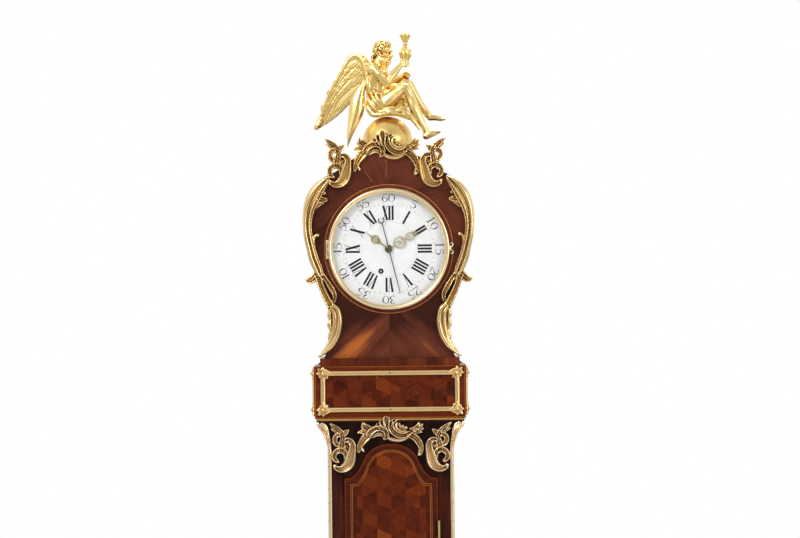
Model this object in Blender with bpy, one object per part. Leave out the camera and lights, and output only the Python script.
"""Longcase regulator clock, French rococo style: a veneered case with gilt bronze mounts, a hinged
glazed bezel, a hinged trunk door, and a weight-driven centre-seconds movement with its pendulum.

Units are millimetres here and metres in the scene. X runs to the right, the front faces -Y, Z is up,
and the origin is at the middle of the base on the floor."""

import math

import bmesh
import bpy
from mathutils import Matrix, Vector
from mathutils.geometry import tessellate_polygon

for old in list(bpy.data.objects):
    bpy.data.objects.remove(old)

# Driving sizes.
HEIGHT = 2250.0  # floor to the top of the hourglass
PLINTH_W = 460.0
PLINTH_D = 270.0
PLINTH_H = 480.0
TRUNK_W = 284.0
TRUNK_D = 200.0
COLLAR_W = 340.0
HOOD_W = 370.0
DIAL_D = 260.0
DOOR_W = 212.0
BOARD = 16.0  # thickness of the case boards
PENDULUM = 994.0  # suspension to the middle of the bob, a seconds beat
BOB_D = 160.0
WEIGHT_D = 60.0
WEIGHT_L = 180.0
GLOBE_D = 110.0
GAP = 0.3  # clearance between pieces that only touch

# Levels and faces that follow from them.
Z_DIAL = HEIGHT - 488
Z_HOOD = HEIGHT - 750
Z_COLLAR = HEIGHT - 869
Z_TRUNK = HEIGHT - 877
Z_COVE = PLINTH_H + 80
Y_BACK = PLINTH_D / 2
Y_IN = Y_BACK - BOARD - GAP
Y_TRUNK = Y_BACK - TRUNK_D
Y_HOOD = Y_TRUNK + 3
TRUNK_X = TRUNK_W / 2
COLLAR_X = COLLAR_W / 2
DIAL_R = DIAL_D / 2
DIAL_AT = (0, Y_HOOD, Z_DIAL)  # the movement, mounts and figure are laid out from here


def add(name, verts, faces, at=(0, 0, 0)):
    mesh = bpy.data.meshes.new(name)
    mesh.from_pydata([[(c + o) / 1000 for c, o in zip(v, at)] for v in verts], [], faces)
    body = bmesh.new()
    body.from_mesh(mesh)
    bmesh.ops.recalc_face_normals(body, faces=body.faces)
    body.to_mesh(mesh)
    body.free()
    obj = bpy.data.objects.new(name, mesh)
    bpy.context.scene.collection.objects.link(obj)
    return obj


def box(name, x, y, z, at=(0, 0, 0)):
    verts = [(x[i], y[j], z[k]) for i in (0, 1) for j in (0, 1) for k in (0, 1)]
    faces = [(0, 1, 3, 2), (4, 5, 7, 6), (0, 1, 5, 4), (2, 3, 7, 6), (0, 2, 6, 4), (1, 3, 7, 5)]
    return add(name, verts, faces, at)


def prism(name, outline, lo, hi, axis="y", holes=(), at=(0, 0, 0)):
    """A flat outline with holes, drawn out along one axis."""
    loops = [list(outline), *map(list, holes)]
    flat = [p for loop in loops for p in loop]
    count = len(flat)
    put = {"x": lambda u, v, t: (t, u, v), "y": lambda u, v, t: (u, t, v), "z": lambda u, v, t: (u, v, t)}
    verts = [put[axis](u, v, t) for t in (lo, hi) for u, v in flat]
    caps = tessellate_polygon([[Vector((u, v, 0)) for u, v in loop] for loop in loops])
    faces = [tuple(c) for c in caps] + [tuple(i + count for i in reversed(c)) for c in caps]
    start = 0
    for loop in loops:
        size = len(loop)
        for i in range(size):
            a, b = start + i, start + (i + 1) % size
            faces.append((a, b, b + count, a + count))
        start += size
    return add(name, verts, faces, at)


def lathe(name, profile, count=16, axis="y", at=(0, 0, 0), ring=False, turn=0.0):
    """A profile of (radius, height) turned round an axis. A ring joins its last point to its first."""
    put = {"y": lambda u, v, t: (u, t, v), "z": lambda u, v, t: (u, v, t)}[axis]
    verts, rows, faces = [], [], []
    for r, t in profile:
        if r == 0:
            rows.append([len(verts)] * count)
            verts.append(put(0, 0, t))
            continue
        rows.append(list(range(len(verts), len(verts) + count)))
        for i in range(count):
            angle = 2 * math.pi * i / count + turn
            verts.append(put(r * math.cos(angle), r * math.sin(angle), t))
    for a, b in zip(rows, rows[1:] + rows[:1] if ring else rows[1:]):
        for i in range(count):
            j = (i + 1) % count
            face = list(dict.fromkeys((a[i], a[j], b[j], b[i])))
            if len(face) > 2:
                faces.append(face)
    return add(name, verts, faces, at)


def rod(name, r, lo, hi, count=10, axis="y", at=(0, 0, 0)):
    return lathe(name, [(0, lo), (r, lo), (r, hi), (0, hi)], count, axis, at, turn=0.09)


def rings(name, rows, back, hole):
    """A moulded frame: one rectangle for each (half width, front, height), round one square opening."""
    verts, faces = [], []
    loops = [[(-x, front), (x, front), (x, back), (-x, back)] for x, front, _ in rows]
    for loop, (_, _, z) in zip(loops, rows):
        verts += [(x, y, z) for x, y in loop]
    for k in range(len(rows) - 1):
        for i in range(4):
            j = (i + 1) % 4
            faces.append((4 * k + i, 4 * k + j, 4 * k + 4 + j, 4 * k + 4 + i))
    top = 4 * (len(rows) - 1)
    if hole is None:
        faces += [(0, 1, 2, 3), (top, top + 1, top + 2, top + 3)]
        return add(name, verts, faces)
    x, y0, y1 = hole
    first = len(verts)
    for z in (rows[0][2], rows[-1][2]):
        verts += [(-x, y0, z), (x, y0, z), (x, y1, z), (-x, y1, z)]
    for i in range(4):
        j = (i + 1) % 4
        faces.append((i, j, first + j, first + i))
        faces.append((top + i, top + j, first + 4 + j, first + 4 + i))
        faces.append((first + i, first + j, first + 4 + j, first + 4 + i))
    return add(name, verts, faces)


def settle(obj, name=None, spent=()):
    """Applies the object's modifiers and removes the helpers that they used."""
    bpy.context.view_layer.update()
    graph = bpy.context.evaluated_depsgraph_get()
    mesh = bpy.data.meshes.new_from_object(obj.evaluated_get(graph))
    obj.modifiers.clear()
    obj.data = mesh
    for helper in spent:
        bpy.data.objects.remove(helper)
    if name:
        obj.name = name
        mesh.name = name
    return obj


def boolean(obj, others, operation, name=None):
    """Cuts are exact. Unions of turned pieces on one axis share facets, which the exact solver leaves open."""
    for other in others:
        modifier = obj.modifiers.new(operation, "BOOLEAN")
        modifier.operation = operation
        modifier.solver = "MANIFOLD" if operation == "UNION" else "EXACT"
        modifier.object = other
    return settle(obj, name, others)


def fuse(name, *pieces):
    return boolean(pieces[0], pieces[1:], "UNION", name)


def melt(name, pieces, voxel, target, relax=0):
    """Joins overlapping forms into one closed casting of about the given number of triangles."""
    body = bmesh.new()
    for piece in pieces:
        body.from_mesh(piece.data)
        bpy.data.objects.remove(piece)
    mesh = bpy.data.meshes.new(name)
    body.to_mesh(mesh)
    body.free()
    obj = bpy.data.objects.new(name, mesh)
    bpy.context.scene.collection.objects.link(obj)
    remesh = obj.modifiers.new("cast", "REMESH")
    remesh.mode = "VOXEL"
    remesh.voxel_size = voxel / 1000
    if relax:
        soften = obj.modifiers.new("soften", "SMOOTH")
        soften.iterations = relax
    settle(obj)
    lighten = obj.modifiers.new("lighten", "DECIMATE")
    lighten.ratio = target / (2 * len(obj.data.polygons))
    return settle(obj)


def copy(obj, name, spread=1.0, shift=(0, 0, 0), rise=1.0):
    """A second casting of the same model; a negative spread mirrors it, and rise makes it lower or taller."""
    twin = bpy.data.objects.new(name, obj.data)
    bpy.context.scene.collection.objects.link(twin)
    twin.scale = (spread, 1, rise)
    twin.location = [c / 1000 for c in shift]
    return twin


def circle(r, count=24, at=(0, 0), turn=0.0):
    steps = [2 * math.pi * i / count + turn for i in range(count)]
    return [(at[0] + r * math.cos(a), at[1] + r * math.sin(a)) for a in steps]


def smooth(points, per=3):
    """A curve through the points, with this many steps from each to the next."""
    ends = [points[0], *points, points[-1]]
    curve = []
    for p, q, r, s in zip(ends, ends[1:], ends[2:], ends[3:]):
        for k in range(per):
            t = k / per
            curve.append(tuple(
                0.5 * (2 * b + (c - a) * t + (2 * a - 5 * b + 4 * c - d) * t**2 + (3 * b - a - 3 * c + d) * t**3)
                for a, b, c, d in zip(p, q, r, s)
            ))
    return curve + [tuple(points[-1])]


def normals(points):
    """The unit left-hand normal at each point of an open line."""
    found = []
    for i in range(len(points)):
        a, b = points[max(i - 1, 0)], points[min(i + 1, len(points) - 1)]
        length = math.hypot(b[0] - a[0], b[1] - a[1])
        found.append((-(b[1] - a[1]) / length, (b[0] - a[0]) / length))
    return found


def inset(points, by):
    return [(p[0] + n[0] * by, p[1] + n[1] * by) for p, n in zip(points, normals(points))]


def both(half):
    """A symmetrical outline from its right half, listed from the bottom to the middle of the top."""
    left = [(-x, z) for x, z in half if x > 0]
    return half + left[::-1]


def strap(points, relief, back=0.0, per=3):
    """A domed bronze band along (x, z, half width) points; relief is how far its crown stands out."""
    line = smooth(points, per)
    verts, faces = [], []
    section = ((-1, 0), (-0.72, 0.7), (0, 1), (0.72, 0.7), (1, 0))
    for (x, z, w), (nx, nz) in zip(line, normals(line)):
        high = relief * min(1, 0.45 + w / 12)
        for side, up in section:
            verts.append((x + nx * w * side, -back - (high - back) * up, z + nz * w * side))
    size = len(section)
    for k in range(len(line) - 1):
        for i in range(size):
            j = (i + 1) % size
            faces.append((k * size + i, k * size + j, k * size + size + j, k * size + size + i))
    faces.append(tuple(range(size)))
    faces.append(tuple(range(len(verts) - size, len(verts))))
    return add("strap", verts, faces, DIAL_AT)


def tube(name, path, r, count=6, at=(0, 0, 0)):
    """A round cord along a path that lies in the XZ plane."""
    verts, faces = [], []
    for (x, z), (nx, nz) in zip(path, normals(path)):
        for i in range(count):
            angle = 2 * math.pi * i / count
            side = r * math.cos(angle)
            verts.append((x + nx * side, r * math.sin(angle), z + nz * side))
    for k in range(len(path) - 1):
        for i in range(count):
            j = (i + 1) % count
            faces.append((k * count + i, k * count + j, k * count + count + j, k * count + count + i))
    faces += [tuple(range(count)), tuple(range(len(verts) - count, len(verts)))]
    return add(name, verts, faces, at)


# The plinth: foot board, three panels and the cove that carries the trunk.
foot = [(0, 0), (0, 46), (6, 54), (14, 64), (16, 70)]
rings("base_board", [(PLINTH_W / 2 - i, i - Y_BACK, z) for i, z in foot], Y_BACK, None)
PANEL_X = PLINTH_W / 2 - 20
PANEL_Y = 20 - Y_BACK
level = (70 + GAP, PLINTH_H - GAP)
box("plinth_front", (-PANEL_X, PANEL_X), (PANEL_Y, PANEL_Y + BOARD), level)
for side, sign in (("left", -1), ("right", 1)):
    edges = sorted((sign * (PANEL_X - BOARD), sign * PANEL_X))
    box(f"plinth_side_{side}", edges, (PANEL_Y + BOARD + GAP, Y_IN), level)
cove = []
for k in range(6):
    turn = math.pi / 2 * k / 5
    x = PLINTH_W / 2 - 8 - (PLINTH_W / 2 - 14 - TRUNK_X) * math.sin(turn)
    front = 8 - Y_BACK + (Y_TRUNK - 14 + Y_BACK) * math.sin(turn)
    cove.append((x, front, PLINTH_H + 14 + (Z_COVE - PLINTH_H - 14) * (1 - math.cos(turn))))
cove.insert(0, (cove[0][0], cove[0][1], PLINTH_H))
rings("plinth_cove", cove, Y_IN, (TRUNK_X - BOARD - 2, Y_TRUNK + BOARD + 2, Y_IN - 6))

# The trunk: framed front with its arched door opening, two sides that flare at the top, and the backboard.
flare = [(TRUNK_X, Z_COVE + GAP), (TRUNK_X, Z_TRUNK - 62)]
flare += [(TRUNK_X + 20 * t**2.2, Z_TRUNK - 62 + 62 * t) for t in (0.25, 0.5, 0.75, 1)]
DOOR_FOOT = Z_COVE + 60
DOOR_TOP = Z_TRUNK - 48.5


def door_outline(grow):
    """The door's outline: straight sides, square shoulders and a crown of two S-curves."""
    x = DOOR_W / 2 + grow
    crown = smooth([(x - 14, -76), (x * 0.735, -64), (x * 0.62, -45), (x * 0.54, -27), (x * 0.4, -12), (x * 0.19, -2),
                    (0, 0)], 2)
    half = [(x, DOOR_FOOT - grow), (x, DOOR_TOP - 77 + grow)]
    return both(half + [(u, DOOR_TOP + v + grow) for u, v in crown])


prism("trunk_front", both(flare + [(0, Z_TRUNK)]), Y_TRUNK, Y_TRUNK + BOARD, holes=[door_outline(1.2)])
for side, sign in (("left", -1), ("right", 1)):
    wall = flare + [(x - BOARD + 2, z) for x, z in reversed(flare)]
    prism(f"trunk_side_{side}", [(sign * x, z) for x, z in wall], Y_TRUNK + BOARD + GAP, Y_IN)

hood = smooth([
    (148, GAP - 245), (134, -207), (131.5, -171), (137, -136), (154.5, -84), (171, -32), (182.5, 28), (185, 76),
    (178.5, 110), (162.5, 138), (144, 162), (118, 175), (96, 189), (80.5, 202), (38.5, 221), (0, 227),
], 2)
hood = [(x * HOOD_W / 370, z) for x, z in hood]
shell = inset(hood, 3)[:-1] + [(0, hood[-1][1] - 3)]
lining = inset(hood, 13)[:-1] + [(0, hood[-1][1] - 13)]
shell[0] = (shell[0][0], hood[0][1])
lining[0] = (lining[0][0], hood[0][1])
back = [(PANEL_X, 70 + GAP), (PANEL_X, PLINTH_H), (TRUNK_X + 4, Z_COVE), (TRUNK_X, Z_COVE + 10)]
back += [(TRUNK_X, Z_TRUNK - 62), (TRUNK_X + 18, Z_TRUNK), (COLLAR_X - 4, Z_COLLAR), (COLLAR_X - 4, Z_HOOD)]
prism("backboard", both(back + [(x, z + Z_DIAL) for x, z in shell]), Y_BACK - BOARD, Y_BACK)

# The door, hung on the right by two loose-pin hinges.
prism("trunk_door", door_outline(0), Y_TRUNK - 1.5, Y_TRUNK + BOARD - 2)
HINGE_X = DOOR_W / 2 + 0.6
HINGE_Y = Y_TRUNK - 5.2
for place, z in (("upper", DOOR_TOP - 208.5), ("lower", DOOR_FOOT + 75)):
    at = (HINGE_X, HINGE_Y, z)
    pin = rod("pin", 1.4, -34, 34, 8, "z", at)
    knuckle = rod("knuckle", 3.2, -34, -GAP, 10, "z", at)
    leaf = box("leaf", (1, 8), (3.2, 4.9), (-34, -GAP), at)
    web = box("web", (0.5, 3.1), (0, 4), (-33, -1), at)
    fuse(f"door_hinge_{place}_case", knuckle, pin, leaf, web)
    sleeve = lathe("sleeve", [(1.8, GAP), (3.2, GAP), (3.2, 34), (1.8, 34)], 10, "z", at, True)
    leaf = box("leaf", (-8, -1), (1.6, 3.2), (GAP, 34), at)
    fuse(f"door_hinge_{place}_door", sleeve, leaf, box("web", (-2.9, -2.2), (0.5, 2.4), (1, 33), at))

# The collar: a three-sided box with a thin brass strip under it and a brass frame on each face.
COLLAR_Y = Y_TRUNK - 2


def three_sides(x, front, thick):
    inner = x - thick
    return [(-x, front), (x, front), (x, Y_IN), (inner, Y_IN), (inner, front + thick), (-inner, front + thick),
            (-inner, Y_IN), (-x, Y_IN)]


prism("collar_strip", three_sides(TRUNK_X + 24, COLLAR_Y - 1.5, BOARD), Z_TRUNK + GAP, Z_COLLAR - GAP, "z")
prism("collar_box", three_sides(COLLAR_X, COLLAR_Y, BOARD), Z_COLLAR, Z_HOOD - GAP, "z")
FRAME = (Z_COLLAR + 14, Z_HOOD - 11)
BAR = 12.0


def collar_frame(name, lo, hi, face, out, axis):
    """Four brass bars round one face of the collar, with a raised leaf clasp over each corner."""
    z0, z1 = FRAME
    edge = [(lo, z0), (hi, z0), (hi, z1), (lo, z1)]
    inner = [(lo + BAR, z0 + BAR), (hi - BAR, z0 + BAR), (hi - BAR, z1 - BAR), (lo + BAR, z1 - BAR)]
    bars = prism(name, edge, *sorted((face, face + out * 5)), axis, [inner])
    clasps = []
    for u in (lo + BAR / 2, hi - BAR / 2):
        for v in (z0 + BAR / 2, z1 - BAR / 2):
            leaf = [(u + 13 * math.cos(a) * (1 - 0.3 * (i % 2)), v + 11 * math.sin(a) * (1 - 0.3 * (i % 2)))
                    for i, a in enumerate(math.pi / 4 * k for k in range(8))]
            clasps.append(prism("clasp", leaf, *sorted((face + out * 0.4, face + out * 8)), axis))
    return fuse(name, bars, *clasps)


collar_frame("collar_frame_front", -COLLAR_X + 13, COLLAR_X - 13, COLLAR_Y - GAP, -1, "y")
for side, sign in (("left", -1), ("right", 1)):
    collar_frame(f"collar_frame_{side}", COLLAR_Y + 13, Y_IN - 13, sign * (COLLAR_X + GAP), sign, "x")

# The hood: moulded base with the cheeks and seat of the movement, shaped front, and bent wall.
MOUTH = (TRUNK_X - BOARD - 20, Y_HOOD + BOARD + 4, Y_IN - 8)
strip = [(-COLLAR_X + 13, Y_HOOD - 8), (COLLAR_X - 13, Y_HOOD - 8), (COLLAR_X - 13, Y_IN), (-COLLAR_X + 13, Y_IN)]
mouth = [(-MOUTH[0], MOUTH[1]), (MOUTH[0], MOUTH[1]), (MOUTH[0], MOUTH[2]), (-MOUTH[0], MOUTH[2])]
floor = prism("floor", strip, Z_HOOD, Z_HOOD + 17, "z", [mouth])
SEAT = -107.0  # top of the seat, below the dial centre
CHEEK = min(MOUTH[0] + 8, 114 * HOOD_W / 370)
slot = [(-46, 48), (10, 48), (10, 62), (-46, 62)]
seat = prism("seat", [(-CHEEK, 18), (CHEEK, 18), (CHEEK, 94), (-CHEEK, 94)], SEAT - 12, SEAT, "z", [slot], DIAL_AT)
cheeks = [box("cheek", sorted((s * CHEEK, s * (CHEEK - 12))), (18.2, 93.8), (-246, SEAT - 1), DIAL_AT)
          for s in (-1, 1)]
fuse("hood_base", floor, *cheeks, seat)
prism("hood_front", both(hood), 0, BOARD, holes=[circle(DIAL_R + 1.2, 40)], at=DIAL_AT)
arch = both(shell) + [(x, z) for x, z in reversed(both(lining))]
prism("hood_wall", arch, BOARD + GAP, Y_IN - Y_HOOD, at=DIAL_AT)

# Glazed bezel on its hinge at nine o'clock, with a small lobed thumb-piece at three.
EDGE = DIAL_R + 5
section = [(DIAL_R - 4, -12), (DIAL_R + 2, -14), (EDGE, -11), (EDGE, -GAP - 0.1), (DIAL_R + 2.6, -GAP - 0.1),
           (DIAL_R + 2.6, -9), (DIAL_R - 4, -9)]
ring = lathe("ring", section, 36, "y", DIAL_AT, True)
AXIS = (-EDGE - 4.5, Y_HOOD - 7, Z_DIAL)
fixed, turning = [], []
for k in range(5):
    lo = (k - 2.5) * 8.6 + GAP / 2
    hi = lo + 8.6 - GAP
    if k % 2:
        fixed.append(rod("knuckle", 3.4, lo, hi, 8, "z", AXIS))
        fixed.append(box("leaf", (-7, -1.2), (4.8, 6.7), (lo, hi), AXIS))
        fixed.append(box("web", (-3.2, -1.6), (0, 5.2), (lo + 0.2, hi - 0.2), AXIS))
    else:
        turning.append(lathe("knuckle", [(1.6, lo), (3.4, lo), (3.4, hi), (1.6, hi)], 8, "z", AXIS, True))
        turning.append(box("web", (2.6, 6.4), (-2, 1.5), (lo + 0.2, hi - 0.2), AXIS))
fixed.append(rod("pin", 1.2, -21.3, 21.3, 8, "z", AXIS))
fixed.append(box("leaf", (-7.5, -4.5), (4.9, 6.6), (-21, 21), AXIS))
fuse("bezel_hinge", *fixed)
thumb = [prism("lobe", circle(r, 10, (EDGE + x, z)), -10, -3, at=DIAL_AT)
         for x, z, r in ((3, 0, 5), (4.5, 8, 5), (4.5, -8, 5))]
fuse("bezel_ring", ring, *turning, *thumb)
lathe("bezel_glass", [(0, -8.7), (DIAL_R + 2.2, -8.7), (DIAL_R + 2.2, -6.7), (0, -6.7)], 36, "y", DIAL_AT)

# Dial and hands. Angles are clockwise from twelve, at about ten past ten.
WINDING = (-18, -50)
prism("dial_plate", circle(DIAL_R + 0.6, 40), 2, 5, holes=[circle(6, 10), circle(6.5, 10, WINDING)], at=DIAL_AT)


def hand(name, angle, reach, tail, hub, bore, lo, hi):
    """A flat hand: (distance, half width) points out to the tip, the same for its tail, and a bored hub."""
    c, s = math.cos(math.radians(angle)), math.sin(math.radians(angle))
    root = math.asin(reach[0][1] / hub)
    outline = [(hub * math.cos(root), reach[0][1]), *reach[1:]]
    outline += [(d, -w) for d, w in reversed(outline) if w]
    arc = math.pi - root
    if tail:
        arc = math.pi - root - math.asin(tail[0][1] / hub)
        side = [(-hub * math.cos(math.asin(tail[0][1] / hub)), tail[0][1]), *((-d, w) for d, w in tail[1:])]
        foot = [(d, -w) for d, w in side] + side[::-1]
        near = [(hub * math.cos(a), hub * math.sin(a)) for a in (root + arc * k / 4 for k in range(1, 4))]
        outline += [(d, -w) for d, w in near] + foot + near[::-1]
    else:
        span = 2 * math.pi - 2 * root
        outline += [(hub * math.cos(a), -hub * math.sin(a)) for a in (root + span * k / 10 for k in range(1, 10))]
    turned = [(d * s + w * c, d * c - w * s) for d, w in outline]
    prism(name, turned, lo, hi, holes=[circle(bore, 10)], at=DIAL_AT)


R = DIAL_R / 130
hand("hour_hand", 306, [(0, 3), (26 * R, 3.4), (31 * R, 9), (38 * R, 9.5), (44 * R, 5), (50 * R, 2.6), (65 * R, 0)],
     [], 9, 5, -0.6, 0.6)
hand("minute_hand", 60, [(0, 3), (16 * R, 6), (23 * R, 13), (34 * R, 13), (43 * R, 4), (50 * R, 8), (60 * R, 8),
                         (66 * R, 3), (105 * R, 0)], [], 8, 3.4, -3, -1.8)
hand("seconds_hand", 166, [(0, 1.6), (60 * R, 1.2), (103 * R, 0)], [(0, 1.8), (56 * R, 1.5), (60 * R, 6), (72 * R, 6),
                                                                  (75 * R, 2)], 5, 1.4, -5.4, -4.4)

# Movement. Each arbor is laid out from the dial centre, with y counted back from the hood face.
PLATE = 74.0
FRONT_Y = (20, 22.5)
BACK_Y = (80, 82.5)
THIRD = (34, 0)
PALLET = (0, 34)
MINUTE = (20 * math.cos(math.radians(-45)), 20 * math.sin(math.radians(-45)))


def wheel_at(spot):
    return (DIAL_AT[0] + spot[0], DIAL_AT[1], DIAL_AT[2] + spot[1])


def gear(teeth, module, phase):
    """A toothed outline with a tooth centred on the phase angle. Teeth are kept slim so that pairs run free."""
    pitch = 2 * math.pi / teeth
    r = module * teeth / 2
    outline = []
    for k in range(teeth):
        a = phase + pitch * k
        for radius, off in ((r + 0.55 * module, 0), (r - 1.25 * module, 0.5)):
            angle = a + off * pitch
            outline.append((radius * math.cos(angle), radius * math.sin(angle)))
    return outline


def crossings(r_in, r_out, arms=4):
    """The openings sawn out of a wheel, which leave a rim, arms and a hub."""
    found = []
    for k in range(arms):
        lo = 2 * math.pi * k / arms + 0.16
        hi = 2 * math.pi * (k + 1) / arms - 0.16
        outer = [lo + (hi - lo) * i / 4 for i in range(5)]
        found.append([(r_out * math.cos(a), r_out * math.sin(a)) for a in outer]
                     + [(r_in * math.cos(a), r_in * math.sin(a)) for a in (hi - 0.12, lo + 0.12)])
    return found


def meshing(spot, other, teeth):
    """The phase that puts a gap of this wheel where the other wheel at that spot has its tooth."""
    return math.atan2(other[1] - spot[1], other[0] - spot[0]) + math.pi / teeth


def toward(spot, other):
    return math.atan2(other[1] - spot[1], other[0] - spot[0])


CENTRE = (0, 0)
plate = [(-PLATE, SEAT + GAP), (PLATE, SEAT + GAP), (PLATE, 58), (PLATE - 12, 70), (12 - PLATE, 70), (-PLATE, 58)]
pivots = [circle(3.5, 10, CENTRE), circle(3.5, 10, WINDING), circle(1.8, 8, THIRD), circle(1.8, 8, PALLET)]
front = prism("front", plate, *FRONT_Y, holes=pivots, at=DIAL_AT)
fuse("front_plate", front, rod("stud", 1.4, 12, 20.5, 8, "y", wheel_at(MINUTE)))
back_holes = [circle(1.8, 8, CENTRE), *pivots[1:]]
frame = [prism("back", plate, *BACK_Y, holes=back_holes, at=DIAL_AT)]
for x in (8 - PLATE, PLATE - 8):
    for z in (SEAT + 9, 60):
        frame.append(rod("pillar", 4, FRONT_Y[1] + GAP, BACK_Y[0] + 1, 8, "y", wheel_at((x, z))))
fuse("back_plate", *frame)

D_GREAT = math.hypot(*WINDING)
M_GREAT = D_GREAT / 27
M_CENTRE = 34 / 27
M_THIRD = 34 / 25.5
M_CANNON = 20 / 16
M_HOUR = 20 / 15
great = gear(48, M_GREAT, meshing(WINDING, CENTRE, 48))
prism("great_wheel", great, 28, 30.5, holes=[circle(3.4, 10), *crossings(12, 24 * M_GREAT - 8)], at=wheel_at(WINDING))
drum = lathe("drum", [(0, 34), (21.5, 34), (21.5, 36), (18.5, 36), (18.5, 72), (21.5, 72), (21.5, 74), (0, 74)], 20,
             "y", wheel_at(WINDING))
arbor = rod("arbor", 3, 15, 81.5, 10, "y", wheel_at(WINDING))
square = box("square", (-2, 2), (0, 16), (-2, 2), wheel_at(WINDING))
fuse("barrel", drum, arbor, square)

pipe = lathe("pipe", [(1.6, -4), (3, -4), (3, 41), (1.6, 41)], 10, "y", DIAL_AT, True)
bore = [circle(1.6, 10)]
pinion = prism("pinion", gear(6, M_GREAT, toward(CENTRE, WINDING)), 26.5, 32, holes=[circle(2, 10)], at=DIAL_AT)
cannon = prism("cannon", gear(8, M_CANNON, toward(CENTRE, MINUTE)), 16.2, 19.4, holes=[circle(2, 10)], at=DIAL_AT)
wheel = prism("wheel", gear(48, M_CENTRE, meshing(CENTRE, THIRD, 48)), 36, 38, holes=[circle(2, 10), *crossings(9, 24)],
              at=DIAL_AT)
fuse("centre_wheel", wheel, pinion, cannon, pipe)
pinion = prism("pinion", gear(6, M_CENTRE, toward(THIRD, CENTRE)), 35, 39.5, at=wheel_at(THIRD))
wheel = prism("wheel", gear(45, M_THIRD, meshing(THIRD, CENTRE, 45)), 52, 54, holes=crossings(8, 24), at=wheel_at(THIRD))
fuse("third_wheel", wheel, pinion, rod("arbor", 1.4, 21, 81.5, 8, "y", wheel_at(THIRD)))
ESCAPE_R = 24.0
teeth = []
for k in range(30):
    a = 2 * math.pi * k / 30
    teeth += [(ESCAPE_R * math.cos(a), ESCAPE_R * math.sin(a)), (20.5 * math.cos(a + 0.07), 20.5 * math.sin(a + 0.07))]
wheel = prism("wheel", teeth, 66, 67.5, holes=crossings(6, 18), at=DIAL_AT)
pinion = prism("pinion", gear(6, M_THIRD, toward(CENTRE, THIRD)), 50.5, 56, at=DIAL_AT)
fuse("escape_wheel", wheel, pinion, rod("arbor", 1.1, -6, 81.5, 8, "y", DIAL_AT))

wheel = prism("wheel", gear(24, M_CANNON, meshing(MINUTE, CENTRE, 24)), 16.8, 18.8, holes=[circle(1.8, 8)],
              at=wheel_at(MINUTE))
pinion = prism("pinion", gear(6, M_HOUR, toward(MINUTE, CENTRE)), 12.4, 17.4, holes=[circle(1.8, 8)],
               at=wheel_at(MINUTE))
fuse("minute_wheel", wheel, pinion)
wheel = prism("wheel", gear(24, M_HOUR, meshing(CENTRE, MINUTE, 24)), 13, 14.8, holes=[circle(3.4, 10)], at=DIAL_AT)
pipe = lathe("pipe", [(3.4, -0.8), (4.6, -0.8), (4.6, 14.6), (3.4, 14.6)], 10, "y", DIAL_AT, True)
fuse("hour_wheel", wheel, pipe)

# Escapement, suspension and pendulum, all on the pallet arbor's line.
AXLE = wheel_at(PALLET)
anchor = smooth([(0, 4), (12, -1), (21, -10), (24, -17)], 2) + [(20.5, -15.5)] + smooth([(17, -10), (9, -5), (0, -3)], 2)
anchor += [(-x, z) for x, z in reversed(anchor) if x > 0]
pallets = prism("pallets", anchor, 65, 68.5, at=AXLE)
arm = box("arm", (-3, 3), (89, 91), (-104, 3), AXLE)
fork = [box("fork", sorted((s * 6.4, s * 8.6)), (90, 115), (-103, -96), AXLE) for s in (-1, 1)]
bar = box("bar", (-8.6, 8.6), (89.2, 90.8), (-103.5, -95.5), AXLE)
fuse("pallet_anchor", rod("arbor", 1.4, 21, 90.5, 8, "y", AXLE), pallets, arm, bar, *fork)
cock = [box("foot", (-14, 14), (BACK_Y[1] + GAP, 86), (11, 34), AXLE), box("beam", (-6, 6), (83, 121), (16, 24), AXLE),
        box("drop", (-6, 6), (118, 121), (-7, 23), AXLE), rod("pin", 1.5, 107, 119, 8, "y", AXLE)]
fuse("suspension_cock", *cock)
ROD_Y = (110.5, 113.5)
eye = lathe("eye", [(2, ROD_Y[0]), (6, ROD_Y[0]), (6, ROD_Y[1]), (2, ROD_Y[1])], 12, "y", AXLE, True)
BOB_R = BOB_D / 2
stem = box("stem", (-5, 5), (ROD_Y[0] + 0.1, ROD_Y[1] - 0.1), (-PENDULUM - BOB_R - 26, -4.6), AXLE)
nut = lathe("nut", [(0, -16), (9, -16), (9, -8), (0, -8)], 10, "z", (AXLE[0], AXLE[1] + 112, AXLE[2] - PENDULUM - BOB_R))
fuse("pendulum_rod", eye, stem, nut)
lens = [(0, -19), (BOB_R * 0.5, -14.5), (BOB_R * 0.85, -6), (BOB_R, -1.5), (BOB_R, 1.5), (BOB_R * 0.85, 6),
        (BOB_R * 0.5, 14.5), (0, 19)]
BOB_AT = (AXLE[0], AXLE[1] + 112, AXLE[2] - PENDULUM)
bob = lathe("bob", lens, 24, "y", BOB_AT)
boolean(bob, [box("way", (-5.4, 5.4), (-1.9, 1.9), (-BOB_R - 5, BOB_R + 5), BOB_AT)], "DIFFERENCE", "pendulum_bob")

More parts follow.
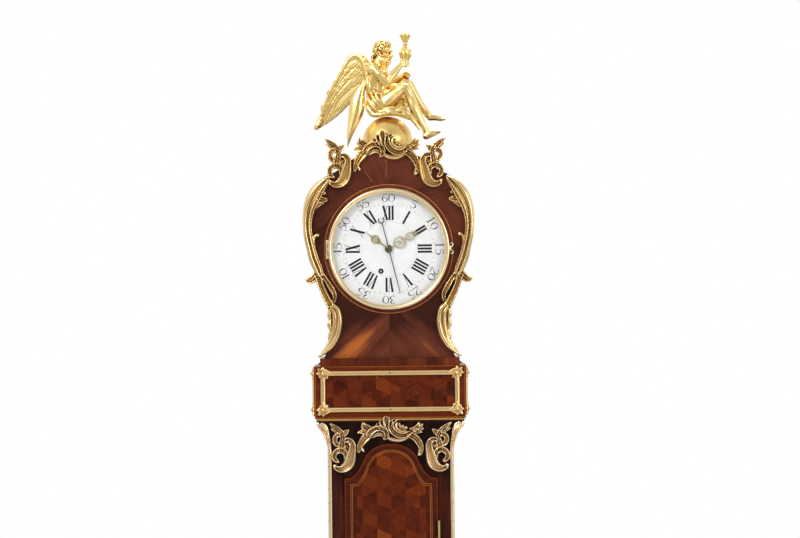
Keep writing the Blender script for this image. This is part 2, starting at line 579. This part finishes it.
# Weight on its pulley. The gut runs from the barrel round the pulley and up to the seat.
LINE_R = 20.0
WEIGHT_AT = (WINDING[0], DIAL_AT[1] + 55, Z_DIAL - 972)  # the pulley's pin, at the end of the run
SHELL = WEIGHT_D / 2
case = [(0, -60 - WEIGHT_L), (SHELL - 5, -60 - WEIGHT_L), (SHELL, -55 - WEIGHT_L), (SHELL, -65), (SHELL - 5, -60),
        (6, -56), (6, -46), (0, -46)]
body = lathe("shell", case, 20, "z", WEIGHT_AT)
cheeks = [box("cheek", (-7, 7), sorted((s * 5, s * 7)), (-47, 8), WEIGHT_AT) for s in (-1, 1)]
bridge = box("bridge", (-7, 7), (-6.5, 6.5), (-47.5, -26), WEIGHT_AT)
fuse("weight", body, bridge, *cheeks, rod("pin", 2, -6, 6, 8, "y", WEIGHT_AT))
sheave = [(2.4, -4), (22, -4), (22, -3.2), (18.4, -1.3), (18.4, 1.3), (22, 3.2), (22, 4), (2.4, 4)]
lathe("weight_pulley", sheave, 16, "y", WEIGHT_AT, True)
under = [math.pi + math.pi * k / 10 for k in range(11)]
fall = [(-LINE_R, 972 + WINDING[1])] + [(LINE_R * math.cos(a), LINE_R * math.sin(a)) for a in under]
tube("gut_line", fall + [(LINE_R, 972 + SEAT - 12 - GAP)], 0.9, 6, WEIGHT_AT)

# Gilt bronze mounts of the hood. Each strap gives (x, z, half width) from the dial centre, for the left side.
W = HOOD_W / 370
BESIDE = EDGE + 12 + GAP  # the outer edge of the bezel's hinge, with its clearance


def mount(name, straps, voxel, target):
    """A casting of straps laid to the hood's width, which pass outside the bezel's hinge."""
    pieces = []
    for points, relief, lift in straps:
        laid = [(min(x * W, -BESIDE - w) if abs(z) < 40 else x * W, z, w) for x, z, w in points]
        pieces.append(strap(laid, relief, lift))
    return melt(name, pieces, voxel, target)


side = [
    ([(-145, 151, 6), (-155.5, 137.5, 12), (-167, 118.5, 15), (-176.5, 96.5, 14), (-181.5, 74, 12), (-182.5, 52, 10.5),
      (-180.5, 30, 10.5), (-175, 4.5, 10.5), (-168.5, -20.5, 11.5), (-159, -44.5, 10.5), (-152.5, -60, 8)], 14, GAP),
    ([(-160.5, 112, 9.5), (-149.5, 112, 8), (-141.5, 111.5, 5.5), (-136, 113, 2)], 12, GAP),
    ([(-156, 127.5, 8), (-148, 127.5, 5.5), (-142, 124, 2)], 11, GAP),
    ([(-164, 98, 7), (-153.5, 103.5, 5), (-142.5, 106.5, 2)], 9, GAP),
    ([(-167.5, 4.5, 4.5), (-169, 17.5, 4.5), (-167, 28.5, 4), (-162, 33, 4)], 10, GAP),
    ([(-157.5, -55.5, 8), (-165.5, -58, 7.5), (-175, -61, 6.5), (-182.5, -64, 4)], 12, GAP),
    ([(-161, -55.5, 9), (-154.5, -77.5, 7.5), (-147, -96.5, 8), (-138.5, -114, 8.5), (-131, -128, 9.5)], 12, GAP),
    ([(-149.5, -58.5, 6.5), (-140, -71, 5.5), (-131, -85.5, 6.5), (-124, -98, 5.5), (-122.5, -109, 4.5),
      (-125.5, -120, 2.5)], 10, GAP),
    ([(-129, -122, 6), (-118, -136, 11), (-116, -160, 13), (-118, -182, 13), (-125, -204, 11), (-139, -223, 7),
      (-157, -239, 3)], 14, GAP),
    ([(-131, -128, 5), (-127, -150, 8), (-127, -175, 8), (-133, -204, 7), (-146, -226, 4)], 11, GAP),
]
left = mount("hood_side_mount_left", side, 2.2, 470)
copy(left, "hood_side_mount_right", -1)
scroll = [
    ([(-129.5, 152, 3.5), (-119, 146.5, 6), (-107.5, 148.5, 9), (-97.5, 158, 11.5), (-92.5, 173, 11.5), (-89, 189, 8),
      (-88.5, 200, 7), (-94, 209.5, 6), (-102, 212, 4.5), (-108, 209.5, 3)], 12, GAP),
    ([(-124, 163.5, 3), (-129, 167.5, 3.5), (-130.5, 175, 3.5), (-128, 183.5, 4), (-119.5, 189, 4.5), (-110.5, 187.5, 4.5),
      (-104.5, 180, 4)], 10, GAP),
    ([(-114.5, 189, 6), (-114.5, 198.5, 8), (-113, 205.5, 7), (-111.5, 214.5, 5), (-113, 223.5, 5.5), (-118, 230, 6),
      (-125, 236.5, 6), (-133, 243, 3.5), (-141, 249, 1.5)], 11, GAP),
    ([(-117.5, 199.5, 3.5), (-125.5, 203, 4), (-129.5, 211, 4), (-127.5, 219, 4), (-120.5, 223.5, 4), (-114.5, 221.5, 3.5)],
     9, GAP),
    ([(-112.5, 221.5, 5), (-106.5, 227, 5.5), (-101.5, 231, 3.5), (-98, 234, 1.5)], 9, GAP),
]
left = mount("hood_shoulder_mount_left", scroll, 1.9, 350)
copy(left, "hood_shoulder_mount_right", -1, (-11 * W, 0, 0))  # pinned nearer the middle than its pair
crest = [
    ([(-46, 225, 9), (-56.5, 214.5, 11), (-63, 204, 9), (-67.5, 194, 6), (-69, 184, 3)], 11, GAP),
    ([(-46, 229.5, 9), (-55, 236.5, 9), (-61.5, 243, 6), (-64, 249.5, 2)], 10, GAP + 3.6),
    ([(-50.5, 223.5, 8), (-64, 227, 6), (-77, 224.5, 2)], 9, GAP),
    ([(-53, 217, 6), (-48.5, 225, 7), (-40, 232.5, 7), (-28.5, 236, 6.5), (-17, 232.5, 6), (-11, 223.5, 5.5),
      (-11, 214.5, 4.5), (-16, 209.5, 3)], 14, GAP),
    ([(-18.5, 230, 6), (-25, 242, 8), (-28.5, 252.5, 6), (-30, 257.5, 2)], 12, GAP + 3.6),
    ([(-13.5, 233, 7), (-16, 249, 8.5), (-15, 261.5, 7.5), (-13.5, 267.5, 3)], 14, GAP + 3.6),
    ([(-10, 235, 5.5), (-7, 251, 6), (-5.5, 261.5, 4), (-3.5, 266.5, 2)], 12, GAP + 3.6),
    ([(9.5, 256, 3), (2, 252.5, 5), (-1.5, 243, 6.5), (1.5, 231.5, 7), (10.5, 222, 7), (23, 217, 6.5), (35.5, 220, 5.5),
      (42.5, 227, 4)], 16, GAP + 3.6),
    ([(-8.5, 221.5, 4), (-6, 212, 4.5), (7, 207, 5), (20.5, 207.5, 5.5), (33, 213.5, 5.5), (42.5, 221.5, 4.5)], 12, GAP),
    ([(12.5, 250, 3), (9.5, 241, 4), (13, 231.5, 5), (23, 226, 5), (33.5, 228, 3.5)], 12, GAP + 3.6),
    ([(43.5, 228.5, 6.5), (55.5, 235.5, 6), (60.5, 243, 3.5), (62.5, 251, 2)], 12, GAP + 3.6),
    ([(48.5, 228.5, 5.5), (60, 236, 4.5), (67, 241, 3), (71, 246, 2)], 11, GAP),
    ([(50.5, 228, 5), (62, 231.5, 4), (73, 235, 2)], 10, GAP),
    ([(35.5, 220, 7), (47, 215.5, 8.5), (56, 206.5, 8), (60, 196, 6.5), (61.5, 186, 5), (61, 176, 3)], 12, GAP),
]
top = mount("hood_crest_mount", crest, 1.9, 430)

# The trunk repeats the hood's crest and shoulder mounts, and has a brass moulding down each front corner.
DROP = (0, Y_TRUNK - Y_HOOD, Z_TRUNK - Z_DIAL - 251)
LOW = 0.9  # the trunk's crest is cast lower than the hood's
T = TRUNK_W / 284
copy(top, "trunk_crest_mount", T / W, (2, DROP[1], DROP[2] + 25 + (1 - LOW) * Z_DIAL), LOW)
for side, sign in (("left", -1), ("right", 1)):
    left = bpy.data.objects["hood_shoulder_mount_left"]
    shift = (-sign * (146 * T - TRUNK_X), DROP[1], DROP[2])
    copy(left, f"trunk_scroll_mount_{side}", -sign * T / W, shift)
    rib = flare[:-1] + [(flare[-1][0], flare[-1][1] - GAP)]
    rib = rib + [(x - 9, z) for x, z in reversed(rib)]
    prism(f"trunk_corner_moulding_{side}", [(sign * x, z) for x, z in rib], Y_TRUNK - 5, Y_TRUNK - GAP)

# The globe on the hood, the winged figure seated on it, and the hourglass in the raised hand.
GLOBE_R = GLOBE_D / 2
GLOBE_AT = (0, Y_HOOD + 72, Z_DIAL + 300 - GLOBE_R)
low = shell[-1][1] + GAP - (300 - GLOBE_R)
tilt = math.asin(max(low / GLOBE_R, -0.95))
ball = [(GLOBE_R * math.cos(a), GLOBE_R * math.sin(a)) for a in (tilt + (math.pi / 2 - tilt) * k / 7 for k in range(7))]
lathe("globe", [(0, low), *ball, (0, GLOBE_R)], 20, "z", GLOBE_AT)
SIT = (8, Y_HOOD + 72, Z_DIAL)


def ovoid(at, size, count=12):
    profile = [(math.cos(a), math.sin(a)) for a in (math.pi * k / 8 - math.pi / 2 for k in range(1, 8))]
    obj = lathe("ovoid", [(0, -1), *profile, (0, 1)], count, "z")
    obj.data.transform(Matrix.Translation([(c + o) / 1000 for c, o in zip(at, SIT)]) @ Matrix.Diagonal((*size, 1)))
    return obj


def limb(a, b, ra, rb):
    """A tapering limb with round ends between two points."""
    spine = Vector(b) - Vector(a)
    length = spine.length
    profile = [(0, -ra), (ra * 0.75, -ra * 0.66), (ra, 0), (rb, length), (rb * 0.75, length + rb * 0.66), (0, length + rb)]
    obj = lathe("limb", profile, 12, "z")
    turn = Vector((0, 0, 1)).rotation_difference(spine).to_matrix().to_4x4()
    obj.data.transform(Matrix.Translation([(c + o) / 1000 for c, o in zip(a, SIT)]) @ turn)
    return obj


flesh = [
    ovoid((-15, 0, 444), (17, 15, 21)), ovoid((-20, 0, 452), (20, 18, 20)), ovoid((-9, 0, 424), (12, 11, 18)),
    limb((-24, 0, 432), (-32, 0, 410), 10, 12),
    limb((-38, 0, 398), (-34, 0, 335), 19, 22), ovoid((-36, 0, 396), (21, 32, 19)), ovoid((-32, 0, 325), (26, 32, 24)),
    limb((-44, -27, 408), (-9, -33, 374), 11, 9), limb((-9, -33, 374), (26, -20, 418), 9, 6), ovoid((27, -16, 418), (9, 8, 9)),
    limb((-38, 27, 406), (4, 33, 378), 11, 9), limb((4, 33, 378), (34, 22, 396), 8, 6), ovoid((36, 20, 396), (8, 8, 7)),
    limb((-26, -16, 322), (33, -18, 370), 18, 12), limb((33, -18, 370), (73, -24, 264), 11, 6),
    limb((73, -24, 252), (106, -24, 262), 7, 4),
    limb((-22, 16, 326), (44, 18, 379), 17, 12), limb((44, 18, 379), (90, 22, 306), 11, 6),
    limb((89, 22, 297), (121, 22, 293), 7, 4),
    limb((-44, -8, 340), (-42, -8, 306), 14, 16), limb((-30, -24, 312), (36, -34, 298), 18, 9),
    limb((36, -34, 298), (62, -36, 268), 9, 4), limb((-34, 20, 312), (20, 34, 306), 18, 10),
]
figure = melt("figure", flesh, 4.0, 960, 3)
cup = [(0, 488), (12.5, 488), (10, 482), (3.2, 466), (3.2, 460), (11, 452), (13.4, 444), (11, 434), (4.5, 424), (3, 412),
       (0, 412)]
GLASS_AT = (42, Y_HOOD + 72 - 16, Z_DIAL)
lathe("hourglass", cup, 12, "z", GLASS_AT)
room = lathe("room", [(0, 492)] + [(r + 0.8, z) for r, z in cup[1:-1]] + [(0, 408)], 12, "z", GLASS_AT)
ground = lathe("ground", [(0, low - 20), *((r + 1.0, z) for r, z in ball), (0, GLOBE_R + 1.0)], 20, "z", GLOBE_AT)
boolean(figure, [room, ground], "DIFFERENCE", "figure")


def wing(name, outline, near, far, slope):
    """A flat wing that leans out from the back, let in against the body with the usual clearance."""
    obj = prism(name, smooth(outline, 2), near, far, at=(SIT[0], Y_HOOD, Z_DIAL))
    for vert in obj.data.vertices:
        vert.co.y += slope * (SIT[0] / 1000 - 0.061 - vert.co.x)
    grown = bpy.data.objects.new("grown", figure.data.copy())
    bpy.context.scene.collection.objects.link(grown)
    swell = grown.modifiers.new("swell", "DISPLACE")
    swell.strength = 1.5 * GAP / 1000
    swell.mid_level = 0
    return boolean(obj, [settle(grown)], "DIFFERENCE", name)


wing("wing_far", [(-50, 374), (-50, 392), (-70, 424), (-82, 443), (-96, 437), (-118, 403), (-147, 347), (-172, 274),
                  (-142, 296), (-113, 318), (-86, 346)], 82, 90, 0.25)
wing("wing_near", [(-51, 328), (-51, 360), (-75, 362), (-91, 340), (-97, 300), (-97, 265), (-100, 233), (-85, 262),
                   (-73, 295)], 52, 60, -0.2)

# Materials, smooth shading on round pieces, and an origin on the axis of each piece that moves.
clock = bpy.data.objects.new("clock", None)
bpy.context.scene.collection.objects.link(clock)


def material(name, colour, roughness, metallic, alpha=1.0):
    made = bpy.data.materials.new(name)
    made.use_nodes = True
    shader = made.node_tree.nodes["Principled BSDF"]
    shader.inputs["Base Color"].default_value = (*colour, 1)
    shader.inputs["Roughness"].default_value = roughness
    shader.inputs["Metallic"].default_value = metallic
    shader.inputs["Alpha"].default_value = alpha
    return made


BRONZE = material("gilt_bronze", (0.62, 0.39, 0.12), 0.35, 1)
LOOKS = [
    (("plinth", "trunk", "collar_box", "hood_front", "hood_wall", "base_board"),
     material("kingwood", (0.09, 0.025, 0.012), 0.28, 0)),
    (("backboard", "hood_base"), material("oak", (0.2, 0.11, 0.05), 0.6, 0)),
    (("mount", "globe", "figure", "wing", "hourglass", "bezel", "hour_hand", "minute_hand"), BRONZE),
    (("collar_frame", "collar_strip", "moulding", "hinge", "plate", "wheel", "barrel", "cock", "bob", "weight"),
     material("brass", (0.68, 0.48, 0.2), 0.3, 1)),
    (("pendulum_rod", "pallet_anchor", "seconds_hand"), material("blued_steel", (0.05, 0.055, 0.08), 0.3, 1)),
    (("mount",), BRONZE),
    (("dial_plate",), material("enamel", (0.86, 0.85, 0.8), 0.12, 0)),
    (("bezel_glass",), material("glass", (0.95, 0.97, 0.97), 0.03, 0, 0.15)),
    (("gut_line",), material("gut", (0.35, 0.22, 0.1), 0.6, 0)),
]
PIVOTS = [
    (("bezel_ring", "bezel_glass"), AXIS),
    (("trunk_door", "door_hinge_upper_door", "door_hinge_lower_door"), (HINGE_X, HINGE_Y, DOOR_FOOT)),
    (("centre_wheel", "escape_wheel", "hour_wheel", "hour_hand", "minute_hand", "seconds_hand"), DIAL_AT),
    (("third_wheel",), wheel_at(THIRD)),
    (("minute_wheel",), wheel_at(MINUTE)),
    (("great_wheel", "barrel"), wheel_at(WINDING)),
    (("pallet_anchor", "pendulum_rod", "pendulum_bob"), AXLE),
    (("weight", "weight_pulley"), WEIGHT_AT),
]
pieces = [obj for obj in bpy.context.scene.objects if obj.type == "MESH"]
for obj in pieces:
    obj.parent = clock
    obj.data.materials.clear()
    obj.data.materials.append([look for words, look in LOOKS if any(word in obj.name for word in words)][-1])
    obj.data.shade_smooth()
    obj.data.set_sharp_from_angle(angle=math.radians(35))
for names, point in PIVOTS:
    spot = Vector(point) / 1000
    for name in names:
        obj = bpy.data.objects[name]
        obj.data.transform(Matrix.Translation(-spot))
        obj.location = spot
